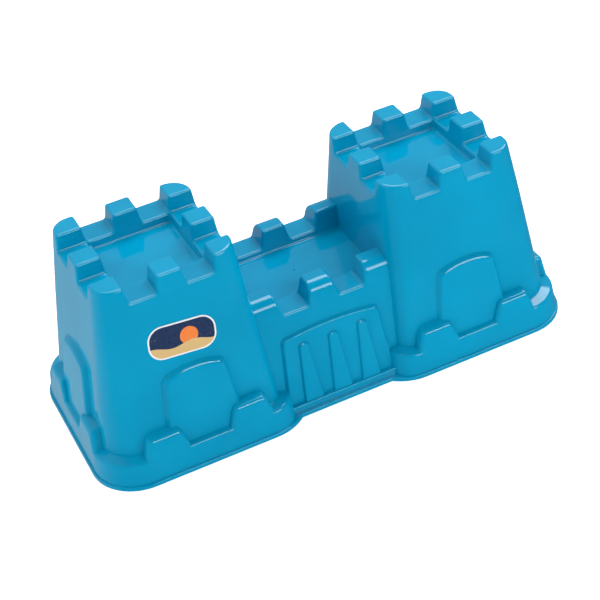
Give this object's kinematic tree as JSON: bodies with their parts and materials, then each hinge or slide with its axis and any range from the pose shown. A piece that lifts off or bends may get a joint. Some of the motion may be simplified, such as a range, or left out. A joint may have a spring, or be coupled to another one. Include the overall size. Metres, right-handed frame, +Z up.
{
  "type": "sand castle mould",
  "caption": "Hollow open-bottomed beach mould shaped as two tapered battlement towers joined by a low gatehouse, with a flanged rim and a printed label on one tower",
  "frame": {"origin": "on the ground, under the middle of the open rim", "axes": "+X runs along the two towers, +Z is up with the castle standing on its rim, -Y is the side with the label"},
  "size_m": [0.3, 0.13, 0.117],
  "materials": {
    "blue_plastic": "glossy opaque cyan-blue plastic, taken to be polypropylene",
    "printed_label": "satin printed vinyl"
  },
  "bodies": {
    "root": {"castle_moulding": "blue_plastic", "wall_label": "printed_label"}
  },
  "joints": []
}
